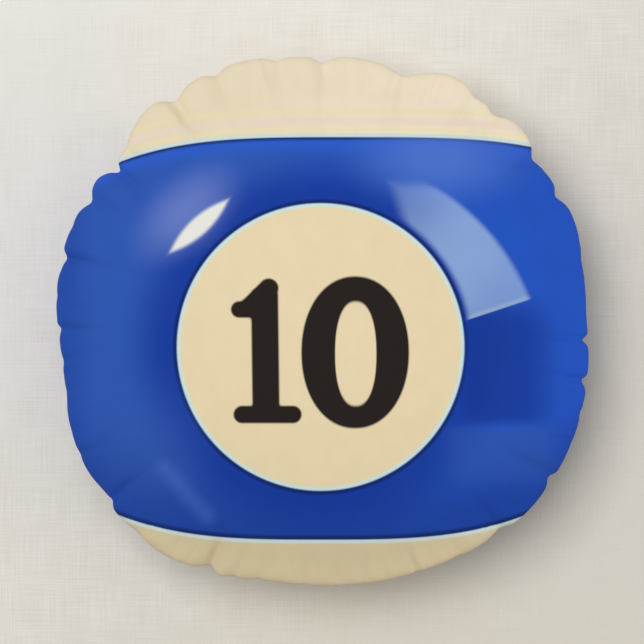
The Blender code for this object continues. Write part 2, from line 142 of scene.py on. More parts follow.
def link(name, data, finish, node):
    """Puts data in the scene as a piece of the pillow's own body, in place of a CAD node."""
    data.materials.append(finish)
    obj = bpy.data.objects.new(name, data)
    scene.collection.objects.link(obj)
    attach(obj, "pillow")
    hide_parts(node)
    return obj


def mesh_of(name, points, faces):
    """A smooth-shaded mesh."""
    mesh = bpy.data.meshes.new(name)
    mesh.from_pydata(np.asarray(points, float).tolist(), [], [list(map(int, f)) for f in faces])
    mesh.shade_smooth()
    return mesh


def thickened(obj, thickness, offset=-1):
    """Gives a surface its cloth thickness: inwards, or to both sides where the offset is 0."""
    thick = obj.modifiers.new("Solidify", "SOLIDIFY")
    thick.thickness = thickness
    thick.offset = offset


# ================================================================ the rim and the seam
def turn_from(turn, degrees):
    """Degrees anticlockwise from one direction to another, the short way round."""
    return (np.degrees(turn) - degrees + 180) % 360 - 180


def plain_radius(turn):
    """Outline without gathers: nearly a circle, and a little wider on the slant of the weave."""
    return RIM_RADIUS * (1 - BIAS_STRETCH * np.cos(4 * turn))


def rim_radius(turn):
    """Outline of the stuffed cover, seen from above."""
    turn = np.asarray(turn, float)
    radius = plain_radius(turn)
    for at, depth, before, after in GATHERS:
        away = turn_from(turn, at)
        away = np.where(away < 0, away / before, away / after)
        radius = radius - depth / 1000 * np.exp(-np.abs(away) ** 1.5)
    for at, rise, width in SWELLS:
        radius = radius + rise / 1000 * np.exp(-(turn_from(turn, at) / width) ** 2)
    return radius


def zip_circle(turn, inset):
    """Distance from the pillow's middle to the zip's circle, inset from the rim there."""
    radius = ZIP_RIM_RADIUS - inset
    return ZIP_AXIS_Y * np.sin(turn) + np.sqrt(radius**2 - (ZIP_AXIS_Y * np.cos(turn)) ** 2)


def zip_share(turn):
    """1 along the zip, 0 along the plain seam, smooth between."""
    coil = zip_circle(turn, COIL_INSET)
    x, y = coil * np.cos(turn), coil * np.sin(turn) - ZIP_AXIS_Y
    away = np.abs((np.arctan2(y, x) + pi / 2 + pi) % (2 * pi) - pi)
    return 1 - smooth_share(ZIP_HALF_ARC + ZIP_BLEND, ZIP_HALF_ARC + 2 * ZIP_BLEND, away)


def edge(turn, plain_inset, zip_inset):
    """Distance out to a line that follows the rim, or the zip where the zip is."""
    return mix(rim_radius(turn) - plain_inset, zip_circle(turn, zip_inset), zip_share(turn))


# ================================================================ cover panels
def panel_grid():
    """A square grid bent onto a disc: share of the radius, turn, four-sided faces, and outer ring."""
    count = 2 * GRID + 1
    i, j = np.meshgrid(np.arange(-GRID, GRID + 1), np.arange(-GRID, GRID + 1), indexing="ij")
    share = np.maximum(abs(i), abs(j)) / GRID
    with np.errstate(divide="ignore", invalid="ignore"):
        across = np.where(i < 0, pi, 0.0) + pi / 4 * np.where(i != 0, j / i, 0.0)
        along = np.where(j < 0, -pi / 2, pi / 2) - pi / 4 * np.where(j != 0, i / j, 0.0)
    turn = np.where(abs(i) >= abs(j), across, along)
    number = np.arange(count * count).reshape(count, count)
    faces = np.stack([number[:-1, :-1], number[1:, :-1], number[1:, 1:], number[:-1, 1:]], -1)
    ring = np.nonzero(share.ravel() == 1)[0]
    ring = ring[np.argsort(turn.ravel()[ring] % (2 * pi))]
    return share.ravel(), turn.ravel() % (2 * pi), faces.reshape(-1, 4), ring


def dome(share):
    """A full dome's height, 1 in the middle and 0 at the rim, at a share of its radius."""
    return (1 - share**2.4) ** 0.6


def starting_dome(share, turn):
    """A plain dome whose rim already holds the gathers."""
    plain = mix(plain_radius(turn) - SEAM_INSET, zip_circle(turn, LIP_INSET), zip_share(turn))
    seam = edge(turn, SEAM_INSET, LIP_INSET)
    near_seam = np.exp(-(1 - share) * CUT_RADIUS / 0.014)
    gap = mix(SEAM_GAP, LIP_GAP, zip_share(turn))
    radius = share * (plain + (seam - plain) * near_seam)
    return around(radius, turn, START_HEIGHT * dome(share) + gap)


def inflate(start, flat, faces, ring, pressure):
    """Blows a panel up from inside with its seam held, starting at one shape and cut to another."""
    mesh = mesh_of("inflating", start, faces)
    obj = bpy.data.objects.new("inflating", mesh)
    scene.collection.objects.link(obj)
    obj.shape_key_add(name="Basis")
    pattern = obj.shape_key_add(name="flat pattern")
    pattern.data.foreach_set("co", flat.astype(np.float32).ravel())
    obj.vertex_groups.new(name="seam").add([int(n) for n in ring], 1.0, "REPLACE")
    cloth = obj.modifiers.new("Cloth", "CLOTH")
    settings = cloth.settings
    settings.quality = 5
    settings.mass = 0.3
    settings.tension_stiffness = settings.compression_stiffness = 15
    settings.shear_stiffness = 4
    settings.bending_stiffness = 0.5
    settings.use_pressure = True
    settings.uniform_pressure_force = pressure
    settings.vertex_group_mass = "seam"
    settings.rest_shape_key = pattern
    settings.effector_weights.gravity = 0
    cloth.point_cache.frame_start = 1
    cloth.point_cache.frame_end = CLOTH_FRAMES + 1
    for number in range(1, CLOTH_FRAMES + 1):
        scene.frame_set(number)
    shaped = obj.evaluated_get(bpy.context.evaluated_depsgraph_get()).data
    points = np.zeros(len(shaped.vertices) * 3, np.float32)
    shaped.vertices.foreach_get("co", points)
    bpy.data.objects.remove(obj)
    scene.frame_set(1)
    return points.reshape(-1, 3).astype(float)


def outline_of(points):
    """Furthest distance out in each sector, as a function of the turn."""
    turn = np.arctan2(points[:, 1], points[:, 0]) % (2 * pi)
    radius = np.hypot(points[:, 0], points[:, 1])
    sector = (turn / (2 * pi) * SECTORS).astype(int) % SECTORS
    furthest = np.zeros(SECTORS)
    np.maximum.at(furthest, sector, radius)
    middles = (np.arange(SECTORS) + 0.5) / SECTORS * 2 * pi
    return lambda at: np.interp(np.asarray(at) % (2 * pi), middles, furthest, period=2 * pi)


def evened(points, faces, rounds):
    """Each point moves halfway to the middle of its neighbours; the outer ring stays."""
    pairs = np.vstack([faces[:, [n, (n + 1) % 4]] for n in range(4)])
    pairs = np.vstack([pairs, pairs[:, ::-1]])
    count = np.zeros(len(points))
    np.add.at(count, pairs[:, 0], 1)
    inner = (count > count.min() + 2)[:, None]
    for _ in range(rounds):
        total = np.zeros_like(points)
        np.add.at(total, pairs[:, 0], points[pairs[:, 1]])
        points = np.where(inner, mix(points, total / count[:, None], 0.5), points)
    return points


def calm(points, faces, share):
    """Lets the long creases fade away from the rim, as firm stuffing does."""
    still = smooth_share(0.78, 0.95, share)[:, None]
    return mix(evened(points, faces, 24), points, still)


def fill_out(points, height):
    """Raises the shoulders to a full dome of a given height; the rim and its creases stay."""
    turn = np.arctan2(points[:, 1], points[:, 0])
    out = np.hypot(points[:, 0], points[:, 1]) / outline_of(points)(turn)
    steps = np.linspace(0, 1, 41)
    near = [np.abs(out - step) < 0.02 for step in steps]
    usual = np.interp(out, steps, [points[these, 2].mean() for these in near])
    wanted = height * dome(np.clip(out, 0, 1))
    points = points.copy()
    points[:, 2] += (wanted - usual) * (1 - smooth_share(0.90, 0.99, out))
    return points


def swell_to(points, share, target):
    """Pushes the cloth near the seam out or in until the outline is the target's."""
    depth = (1 - share) * CUT_RADIUS
    weight = smooth_share(-0.002, 0.014, depth) * (1 - smooth_share(0.014, 0.060, depth))
    for _ in range(3):
        turn = np.arctan2(points[:, 1], points[:, 0])
        push = (target(turn) - outline_of(points)(turn)) * weight
        points = points + around(push, turn, 0.0)
    return points


def creased(points, target):
    """Valleys that run in over the shoulder from each gather, and finer ripples between them."""
    turn = np.arctan2(points[:, 1], points[:, 0])
    inside = target(turn) - np.hypot(points[:, 0], points[:, 1])
    near_seam = smooth_share(0.0, 0.005, inside)
    fall = np.zeros(len(points))
    for at, depth, _, _ in GATHERS:
        length = CREASE_LENGTH * (1 + depth / 5)
        slant = sin(at)  # any fixed number from -1 to 1, so that the creases lean differently
        bent = turn_from(turn, at) + CREASE_BEND * slant * inside
        fade = 1 - smooth_share(0.1 * length, length, inside)
        valley = np.exp(-((bent / CREASE_WIDTH) ** 2)) * fade
        fall = fall + CREASE_DEPTH * (0.4 + min(depth, 6) / 6) * valley
    for count, start in RIPPLES:
        fade = 1 - smooth_share(0.004, 0.030, inside)
        ripple = np.sin(count * turn + start + RIPPLE_SLANT * inside)
        fall = fall + RIPPLE_DEPTH * ripple * fade
    points = points.copy()
    points[:, 2] -= fall * near_seam
    return points


def soft_least(a, b, width):
    """The smaller of two numbers, rounded where they meet."""
    return np.minimum(a, b) - np.maximum(width - np.abs(a - b), 0) ** 2 / (4 * width)


def hem_rings(turn):
    """Turned-in allowance of a panel, from the seam inwards, as (radius, distance from the seam)."""
    share = zip_share(turn)
    plain = ((0.0075, SEAM_GAP), (0.0105, SEAM_GAP), (0.0140, SEAM_GAP), (0.0180, SEAM_GAP))
    zipped = ((0.0084, LIP_GAP), (0.0087, 0.0042), (0.0150, 0.0041), (0.0240, 0.0041))
    return [(edge(turn, a, b), mix(low, high, share)) for (a, low), (b, high) in zip(plain, zipped)]


def front_outline(turn):
    """The front's outline hides the zip, wherever the rim would draw in past it."""
    rim = rim_radius(turn)
    return mix(rim, np.maximum(rim, zip_circle(turn, FRONT_ZIP_INSET)), zip_share(turn))


def stuffed_panel(side):
    """One panel's outer surface from its middle to its seam, above (side 1) or below (side -1)."""
    share, turn, faces, ring = panel_grid()
    flat = around(share * CUT_RADIUS, turn, 0.0)
    points = starting_dome(share, turn)
    points = inflate(points, flat, faces, ring, FRONT_PRESSURE if side > 0 else BACK_PRESSURE)
    points = calm(points, faces, share)
    outline = front_outline if side > 0 else lambda at: edge(at, 0.0, BACK_ZIP_INSET)
    points = swell_to(points, share, outline)
    points = fill_out(points, TOP_HEIGHT - SEAM_HEIGHT if side > 0 else SEAM_HEIGHT + BACK_SPARE)
    for _ in range(2):
        points = swell_to(evened(points, faces, 5), share, outline)
    points = creased(points, outline)
    if side < 0:
        points[:, 2] = soft_least(points[:, 2], SEAM_HEIGHT, FLOOR_ROUNDING)
    return points


def with_rings(points, faces, outer, rings, side):
    """Joins rings of points on to a panel's outer ring, and puts it on its side of the seam."""
    for ring in rings:
        inner = np.arange(len(points), len(points) + len(outer))
        points = np.vstack([points, ring])
        band = np.stack([np.roll(outer, -1), outer, inner, np.roll(inner, -1)], -1)
        faces = np.vstack([faces, band])
        outer = inner
    points[:, 2] = SEAM_HEIGHT + side * points[:, 2]
    return points, faces if side > 0 else faces[:, ::-1]


def cover_panel(side):
    """Points and faces of a whole cover panel, with its turned-in edge."""
    _, turn, faces, outer = panel_grid()
    turn = turn[outer]
    rings = [around(radius, turn, gap) for radius, gap in hem_rings(turn)]
    return with_rings(STUFFED[side], faces, outer, rings, side)


def subdivided(points, faces):
    """Points and faces after one round of smooth subdivision."""
    obj = bpy.data.objects.new("coarse", mesh_of("coarse", points, faces))
    scene.collection.objects.link(obj)
    obj.modifiers.new("Subdivision", "SUBSURF").levels = 1
    fine = obj.evaluated_get(bpy.context.evaluated_depsgraph_get()).data
    fine_points = np.zeros(len(fine.vertices) * 3, np.float32)
    fine.vertices.foreach_get("co", fine_points)
    corners = np.zeros(len(fine.loops), np.int32)
    fine.loops.foreach_get("vertex_index", corners)
    bpy.data.objects.remove(obj)
    return fine_points.reshape(-1, 3).astype(float), corners.reshape(-1, 4)


def print_places(points, side):
    """Where each point falls on the print: as seen on the dome, and onward down to the seam."""
    height = np.abs(points[:, 2] - SEAM_HEIGHT)
    spread = 1 + PRINT_SPREAD * (height - PRINT_LEVEL)
    places = points * (1, 1, 0) * spread[:, None]
    reach = np.hypot(places[:, 0], places[:, 1])
    # Where the cloth turns back under the rim, the print still goes on outwards.
    sector = np.floor(np.arctan2(places[:, 1], places[:, 0]) / (2 * pi) * SECTORS)
    order = np.lexsort((reach - height, sector))
    furthest = np.zeros(len(points))
    furthest[order] = np.maximum.accumulate(reach[order] + sector[order]) - sector[order]
    places *= ((2 * furthest - reach) / np.maximum(reach, 1e-6))[:, None]
    places[:, 0] *= side  # the back print reads the right way round from behind
    return places


def cover(name, side, finish, node):
    """One panel of the pillow's cover."""
    points, faces = subdivided(*cover_panel(side))
    places = print_places(points, side)
    mesh = mesh_of(name, points, faces)
    on_print = mesh.attributes.new("on_print", "FLOAT_VECTOR", "POINT")
    on_print.data.foreach_set("vector", places.ravel())
    obj = link(name, mesh, finish, node)
    thickened(obj, CLOTH)
    return obj


# ================================================================ shader maths
def srgb(red, green, blue):
    """A colour as linear RGBA, from the usual 0 to 255 values."""
    channels = [c / 255 for c in (red, green, blue)]
    return (*(c / 12.92 if c <= 0.04045 else ((c + 0.055) / 1.055) ** 2.4 for c in channels), 1.0)


class Field:
    """A number that varies over a surface, as the output of a shader node."""

    def __init__(self, tree, socket):
        self.tree = tree
        self.socket = socket

    def apply(self, operation, *others):
        node = self.tree.nodes.new("ShaderNodeMath")
        node.operation = operation
        for number, value in enumerate((self, *others)):
            if isinstance(value, Field):
                self.tree.links.new(value.socket, node.inputs[number])
            else:
                node.inputs[number].default_value = value
        return Field(self.tree, node.outputs[0])

    def __add__(self, other):
        return self.apply("ADD", other)

    def __sub__(self, other):
        return self.apply("SUBTRACT", other)

    def __mul__(self, other):
        return self.apply("MULTIPLY", other)

    def __truediv__(self, other):
        return self.apply("DIVIDE", other)

    def __rsub__(self, other):
        return self * -1 + other

    __radd__ = __add__
    __rmul__ = __mul__

    def power(self, exponent):
        return self.apply("POWER", exponent)

    def root(self):
        return self.apply("SQRT")

    def size(self):
        return self.apply("ABSOLUTE")

    def least(self, other):
        return self.apply("MINIMUM", other)

    def soft_least(self, other, width):
        return self.apply("SMOOTH_MIN", other, width)

    def most(self, other):
        return self.apply("MAXIMUM", other)

    def share(self, start, end):
        """0 at start and 1 at end, smooth between, where start may be above end."""
        node = self.tree.nodes.new("ShaderNodeMapRange")
        node.interpolation_type = "SMOOTHSTEP"
        self.tree.links.new(self.socket, node.inputs["Value"])
        node.inputs["From Min"].default_value = start
        node.inputs["From Max"].default_value = end
        return Field(self.tree, node.outputs["Result"])


def blend_colours(share, under, over):
    """Colour over laid on colour under, by a share."""
    tree = share.tree
    node = tree.nodes.new("ShaderNodeMix")
    node.data_type = "RGBA"
    tree.links.new(share.socket, node.inputs[0])
    for socket, colour in ((node.inputs[6], under), (node.inputs[7], over)):
        if isinstance(colour, tuple):
            socket.default_value = colour
        else:
            tree.links.new(colour, socket)
    return node.outputs[2]


def hypotenuse(a, b):
    """Distance of a place from the origin, as a field."""
    return (a * a + b * b).root()


def split_axes(tree, place):
    """X, Y and Z of a place, as sockets."""
    node = tree.nodes.new("ShaderNodeSeparateXYZ")
    tree.links.new(place, node.inputs[0])
    return node.outputs


def noise(tree, place, scale, detail=2.0, roughness=0.5):
    """Soft random blotches; the scale is in cycles for each metre."""
    node = tree.nodes.new("ShaderNodeTexNoise")
    tree.links.new(place, node.inputs["Vector"])
    node.inputs["Scale"].default_value = scale
    node.inputs["Detail"].default_value = detail
    node.inputs["Roughness"].default_value = roughness
    return Field(tree, node.outputs["Fac"])


def waves(tree, place, scale, direction, distortion):
    """Parallel ridges."""
    node = tree.nodes.new("ShaderNodeTexWave")
    node.bands_direction = direction
    tree.links.new(place, node.inputs["Vector"])
    node.inputs["Scale"].default_value = scale
    node.inputs["Distortion"].default_value = distortion
    return Field(tree, node.outputs["Fac"])


def bump(tree, height, distance, strength, under=None):
    """A surface direction tilted by a height, on top of another bump where there is one."""
    node = tree.nodes.new("ShaderNodeBump")
    tree.links.new(height.socket, node.inputs["Height"])
    node.inputs["Distance"].default_value = distance
    node.inputs["Strength"].default_value = strength
    if under:
        tree.links.new(under, node.inputs["Normal"])
    return node.outputs["Normal"]


def new_material(name, roughness, metallic=0.0, sheen=0.0):
    """A material with its node tree and its shader."""
    made = bpy.data.materials.new(name)
    made.use_nodes = True
    tree = made.node_tree
    shader = tree.nodes["Principled BSDF"]
    shader.inputs["Roughness"].default_value = roughness
    shader.inputs["Metallic"].default_value = metallic
    shader.inputs["Sheen Weight"].default_value = sheen
    return made, tree, shader


def dress(tree, shader, colour, roughness=None, normal=None):
    """Gives a shader its varying colour, roughness and surface direction."""
    tree.links.new(colour, shader.inputs["Base Color"])
    if roughness is not None:
        tree.links.new(roughness.socket, shader.inputs["Roughness"])
    if normal is not None:
        tree.links.new(normal, shader.inputs["Normal"])


def shaded(colour, factor, lift=0.0):
    """A colour made darker or lighter."""
    return tuple(min(1.0, channel * factor + lift) for channel in colour[:3]) + (1.0,)


def object_place(tree):
    """A place on the object, in metres."""
    return tree.nodes.new("ShaderNodeTexCoord").outputs["Object"]


# ================================================================ the print (millimetres)
CREAM = srgb(246, 232, 206)
CREAM_LEFT = srgb(236, 222, 192)
CREAM_LOW = srgb(218, 202, 166)
PINK = srgb(238, 218, 208)
YELLOW = srgb(238, 230, 176)
HALO = srgb(206, 228, 226)
BLUE_LEFT = srgb(46, 90, 184)
BLUE_RIGHT = srgb(34, 86, 198)
BLUE_LOW = srgb(22, 62, 158)
NAVY = srgb(16, 56, 158)
EDGE_NAVY = srgb(8, 32, 96)
BAND_LINE = srgb(44, 96, 216)
DISC = srgb(236, 219, 180)
DISC_EDGE = srgb(206, 232, 232)
INK = srgb(38, 32, 30)
SHINE = srgb(236, 237, 230)
LAVENDER = srgb(128, 146, 214)
SKY = srgb(88, 128, 216)
POOL = srgb(14, 52, 152)
LIFT = srgb(50, 90, 180)
WINDOW = srgb(154, 184, 231)

DISC_CENTRE = (-1.0, -17.8)
DISC_RADIUS = 102.2
# The band's edges: peak's x and y, how far away the edge is measured, its fall there, its power.
BAND_TOP = (21.3, 131.6, 160.0, 15.7, 3.6)
BAND_BOTTOM = (0.0, -155.0, 135.0, -14.0, 3.2)


def capsule(x, y, start, end, radius):
    """Distance outside a thick line with round ends."""
    dx, dy = end[0] - start[0], end[1] - start[1]
    away_x, away_y = x - start[0], y - start[1]
    along = ((away_x * dx + away_y * dy) / (dx * dx + dy * dy)).most(0).least(1)
    return hypotenuse(away_x - along * dx, away_y - along * dy) - radius


def oval(x, y, centre, half_width, half_height, squareness):
    """Roughly the distance outside an oval, squarer than an ellipse above 2."""
    across = ((x - centre[0]) / half_width).size().power(squareness)
    upright = ((y - centre[1]) / half_height).size().power(squareness)
    return ((across + upright).power(1 / squareness) - 1) * (half_width * half_height) ** 0.5


def rectangle(x, y, centre, half_width, half_height, corner):
    """Distance outside a rectangle with round corners."""
    across = ((x - centre[0]).size() - (half_width - corner)).most(0)
    upright = ((y - centre[1]).size() - (half_height - corner)).most(0)
    return hypotenuse(across, upright) - corner


def numeral(x, y):
    """Distance outside the figures 1 and 0."""
    leaning = x + 0.0127 * y
    one = rectangle(leaning, y, (-40.6, -21.0), 9.7, 45.0, 5.0)
    one = one.soft_least(capsule(x, y, (-50.0, 12.0), (-37.9, 24.0), 7.0), 1.5)
    one = one.soft_least(capsule(x, y, (-58.9, 8.9), (-46.0, 8.9), 5.9), 4.0)
    one = one.soft_least(capsule(x, y, (-56.7, -65.8), (-20.7, -65.8), 6.25), 3.0)
    outside = oval(x, y, (23.6, -21.6), 38.3, 54.1, 2.1)
    inside = oval(x, y, (24.0, -22.6), 14.6, 37.0, 2.3)
    return one.least(outside.most(inside * -1))


def band_depths(x, y):
    """How far a point is below the band's top edge, and above its bottom edge."""
    edges = []
    for peak_x, peak_y, reach, fall, exponent in (BAND_TOP, BAND_BOTTOM):
        away = ((x - peak_x) / reach).size()
        edges.append(peak_y - fall * away.power(exponent))
    return edges[0] - y, y - edges[1]


def blues(x, away, top_depth, bottom_depth):
    """The stripe: lighter at the sides, navy beside the disc, dark lines along its edges."""
    colour = blend_colours(x.share(-60, 110), BLUE_LEFT, BLUE_RIGHT)
    colour = blend_colours(bottom_depth.share(75, 5) * 0.8, colour, BLUE_LOW)
    near_disc = away.share(45, 6) * (1 - 0.25 * x.share(20, 120))
    colour = blend_colours(near_disc * 0.9, colour, NAVY)
    colour = blend_colours(x.share(-158, -184) * 0.45, colour, BLUE_LOW)
    colour = blend_colours(top_depth.share(14, 5) * 0.6, colour, BAND_LINE)
    dark = top_depth.share(3.2, 0.8).most(bottom_depth.share(4.5, 1.5)).most(away.share(4.2, 1.4))
    return blend_colours(dark * 0.8, colour, EDGE_NAVY)


def turned(x, y, degrees):
    """Coordinates in axes that are turned anticlockwise."""
    c, s = cos(radians(degrees)), sin(radians(degrees))
    return x * c + y * s, y * c - x * s


def painted_shine(x, y, away, colour):
    """Highlights that belong to the printed ball: a leaf, its glow, a window and two soft streaks."""
    sky = hypotenuse((x - 84) / 60, (y - 116) / 30).share(1.4, 0.0)
    colour = blend_colours(sky * 0.7, colour, SKY)
    pool = rectangle(x, y, (128, -33), 30, 44, 20).share(16.0, -14.0) * y.share(-77, -67)
    colour = blend_colours(pool * 0.75, colour, POOL)
    lift = rectangle(x, y, (128, -92), 34, 18, 8).share(14.0, -10.0) * y.share(-72, -77)
    colour = blend_colours(lift * 0.55, colour, LIFT)
    left_lift = hypotenuse((x + 124) / 46, (y + 88) / 52).share(1.3, 0.1)
    colour = blend_colours(left_lift * 0.5, colour, LIFT)

    # The leaf is where two large circles meet; u runs along it and v across it.
    u, v = turned(x + 87.5, y - 68.3, 42.3)
    leaf = (hypotenuse(u, v + 59.0) - 65.2).most(hypotenuse(u, v - 59.0) - 65.2)
    glow = hypotenuse(u / 38, (v - 13) / 22).share(1.5, 0.1)
    colour = blend_colours(glow * 0.55, colour, LAVENDER)
    colour = blend_colours(leaf.share(3.0, -0.5) * 0.5, colour, LAVENDER)
    colour = blend_colours(leaf.share(1.5, -2.0), colour, SHINE)

    # The window hugs the disc between two straight ends, and fades towards its upper end.
    sill = (y - 1.4) - 0.33 * (x - 103.2)
    head = ((x - 46.2) * 0.95 + (y - 100.3) * 0.30).least(101.0 - y)
    outer = 50.5 - 0.16 * (y - 20) - away
    inside = sill.share(-0.7, 0.9) * head.share(-3, 9) * outer.share(-2.0, 4.0) * away.share(2.0, 8.0)
    fade = (x - y).share(-60, 45) * 0.50 + 0.28 - (x - y).share(60, 120) * 0.14
    colour = blend_colours(inside * fade, colour, WINDOW)
    lit_edge = inside * sill.share(5.0, 0.5)
    colour = blend_colours(lit_edge * 0.25, colour, HALO)

    streak = capsule(x, y, (-112, -104), (-82, -138), 2.0).share(9.0, -3.0)
    return blend_colours(streak * 0.26, colour, SKY)


def creams(x, y, top_depth, bottom_depth):
    """The ball's white poles, with the faint stripes beside the band."""
    colour = blend_colours(x.share(-120, 90), CREAM_LEFT, CREAM)
    colour = blend_colours(y.share(60, -60), colour, CREAM_LOW)
    pink = top_depth.share(-16, -12) * top_depth.share(-7, -10)
    colour = blend_colours(pink * 0.5, colour, PINK)
    yellow = (top_depth.share(-22, -19) * top_depth.share(-15, -18)).most(
        top_depth.share(-8, -6) * top_depth.share(-3.5, -5)
    )
    colour = blend_colours(yellow * 0.4, colour, YELLOW)
    halo = top_depth.least(bottom_depth).share(-3.4, -1.8)
    return blend_colours(halo * 0.9, colour, HALO)


def ball_print(x, y):
    """Colour of the printed ball at a place seen from above, in millimetres."""
    top_depth, bottom_depth = band_depths(x, y)
    away = hypotenuse(x - DISC_CENTRE[0], y - DISC_CENTRE[1]) - DISC_RADIUS
    stripe = painted_shine(x, y, away, blues(x, away, top_depth, bottom_depth))
    colour = creams(x, y, top_depth, bottom_depth)
    colour = blend_colours(top_depth.least(bottom_depth).share(-0.6, 0.6), colour, stripe)
    colour = blend_colours(away.share(0.8, -0.8), colour, DISC_EDGE)
    colour = blend_colours(away.share(-1.2, -3.6), colour, DISC)
    return blend_colours(numeral(x, y).share(0.9, -0.9), colour, INK)


def puckers(tree, across, upwards):
    """Short creases that run in from the gathered seam."""
    x, y = Field(tree, across), Field(tree, upwards)
    reach = hypotenuse(x, y)
    place = tree.nodes.new("ShaderNodeCombineXYZ")
    for axis, value in zip("XYZ", (x / reach, y / reach, reach * 2.0)):
        tree.links.new(value.socket, place.inputs[axis])
    creases = noise(tree, place.outputs["Vector"], 15, 1.5)
    return creases * reach.share(0.140, DESIGN_RIM_RADIUS)


def printed_cloth(name):
    """Brushed polyester with the ball printed on it."""
    made, tree, shader = new_material(name, 0.78, sheen=0.03)
    shader.inputs["Sheen Roughness"].default_value = 0.6
    shader.inputs["Specular IOR Level"].default_value = 0.08
    place = tree.nodes.new("ShaderNodeAttribute")
    place.attribute_name = "on_print"
    across, upwards, _ = split_axes(tree, place.outputs["Vector"])
    colour = ball_print(Field(tree, across) * 1000, Field(tree, upwards) * 1000)

    blotch = noise(tree, place.outputs["Vector"], 60, 3.0)
    speck = noise(tree, place.outputs["Vector"], 900, 2.0)
    value = tree.nodes.new("ShaderNodeHueSaturation")
    tree.links.new(colour, value.inputs["Color"])
    tree.links.new((0.93 + 0.08 * blotch + 0.06 * speck).socket, value.inputs["Value"])

    warp = waves(tree, place.outputs["Vector"], 560, "X", 0.6)
    weft = waves(tree, place.outputs["Vector"], 560, "Y", 0.6)
    nap = noise(tree, place.outputs["Vector"], 1600, 3.0)
    weave = bump(tree, warp * weft + nap * 0.8, 0.00012, 0.6)
    soft = bump(tree, blotch, 0.0006, 0.35, weave)
    puckered = bump(tree, puckers(tree, across, upwards), 0.0035, 0.8, soft)
    dress(tree, shader, value.outputs["Color"], 0.70 + 0.16 * speck, puckered)
    return made


# ================================================================ other finishes
def cloth_finish(name, colour, roughness, weave_scale, depth, lumps=0.0, sheen=0.1):
    """Plain woven or non-woven cloth in object space."""
    made, tree, shader = new_material(name, roughness, sheen=sheen)
    place = object_place(tree)
    shade = noise(tree, place, 45, 4.0)
    warp = waves(tree, place, weave_scale, "X", 0.5)
    weft = waves(tree, place, weave_scale, "Y", 0.5)
    fine = bump(tree, warp + weft + noise(tree, place, 900, 3.0), depth, 0.7)
    if lumps:
        fine = bump(tree, noise(tree, place, 30, 6.0, 0.65), lumps, 0.8, fine)
    mixed = blend_colours(shade, shaded(colour, 0.86), colour)
    dress(tree, shader, mixed, roughness - 0.06 + 0.12 * shade, fine)
    return made


def fibre_finish():
    """Loose polyester fibre: soft, matted, and a little translucent."""
    made, tree, shader = new_material("polyester fibre", 0.95, sheen=0.3)
    shader.inputs["Subsurface Weight"].default_value = 0.25
    shader.inputs["Subsurface Scale"].default_value = 0.01
    place = object_place(tree)
    clumps = noise(tree, place, 38, 8.0, 0.7)
    strands = noise(tree, place, 420, 6.0, 0.8)
    mixed = blend_colours(clumps, srgb(222, 222, 220), srgb(250, 250, 249))
    fine = bump(tree, strands, 0.0008, 0.9)
    dress(tree, shader, mixed, normal=bump(tree, clumps, 0.004, 0.9, fine))
    return made


def metal_finish():
    """Nickel-plated zinc with cast softness and a few rubbed marks."""
    made, tree, shader = new_material("nickel zip metal", 0.3, metallic=1.0)
    place = object_place(tree)
    wear = noise(tree, place, 700, 5.0, 0.6)
    mixed = blend_colours(wear, srgb(170, 171, 174), srgb(206, 206, 208))
    grained = bump(tree, noise(tree, place, 2200, 2.0), 0.00003, 0.5)
    dress(tree, shader, mixed, 0.22 + 0.22 * wear, grained)
    return made


def nylon_finish(name, colour):
    """Dyed nylon with a slight gloss."""
    made, tree, shader = new_material(name, 0.4)
    place = object_place(tree)
    shade = noise(tree, place, 500, 2.0)
    mixed = blend_colours(shade, colour, shaded(colour, 1.35, 0.004))
    dress(tree, shader, mixed, 0.32 + 0.15 * shade)
    return made


def thread_finish(name, colour):
    """Twisted thread: fine slanting ridges, with painted shade in the grooves between them."""
    made, tree, shader = new_material(name, 0.6, sheen=0.15)
    place = object_place(tree)
    twist = waves(tree, place, 900, "DIAGONAL", 1.0)
    # The grooves between the twists are painted darker: painted shade.
    mixed = blend_colours(twist, shaded(colour, 0.78), colour)
    dress(tree, shader, mixed, 0.52 + 0.16 * twist, bump(tree, twist, 0.00008, 0.7))
    return made


# ================================================================ stitches and coils
# Inset from the rim, reach to each side of that line, reach up and down, and pitch.
COVER_STITCH = (0.0080, 0.0, 0.0015, 0.0028)
OVERLOCK = (0.0183, 0.0011, 0.0016, 0.0021)
INSERT_STITCH = (0.0335, 0.0, 0.0015, 0.0032)
THREAD_RADIUS = 0.00018
OVERLOCK_THREAD_RADIUS = 0.00014

COIL_WIRE_RADIUS = 0.00026
COIL_HALF_WIDTH = 0.0011
COIL_PITCH = 0.00125
COIL_END_INSET = 0.0008


def strand(name, points, radius, finish, node):
    """A thread or wire along a line of points."""
    curve = bpy.data.curves.new(name, "CURVE")
    curve.dimensions = "3D"
    curve.bevel_depth = radius
    curve.bevel_resolution = 1
    curve.use_fill_caps = True
    spline = curve.splines.new("POLY")
    spline.points.add(len(points) - 1)
    spline.points.foreach_set("co", np.column_stack([points, np.ones(len(points))]).ravel())
    link(name, curve, finish, node)


def polar_of_zip(zip_turn):
    """Turn about the pillow's middle of a place on the coil, given about the zip's axis."""
    return np.arctan2(ZIP_AXIS_Y + COIL_RADIUS * np.sin(zip_turn), COIL_RADIUS * np.cos(zip_turn))


def stitched(turns, inset, across, upright, pitch):
    """A thread that winds round a line inset from the rim: across it, and up and down through it."""
    radius = edge(turns, inset, inset)
    phase = turns * RIM_RADIUS / pitch * 2 * pi
    rise = upright * np.tanh(3 * np.sin(phase)) / np.tanh(3)  # steep sides and level tops
    return around(radius + across * np.cos(phase), turns, SEAM_HEIGHT + rise)


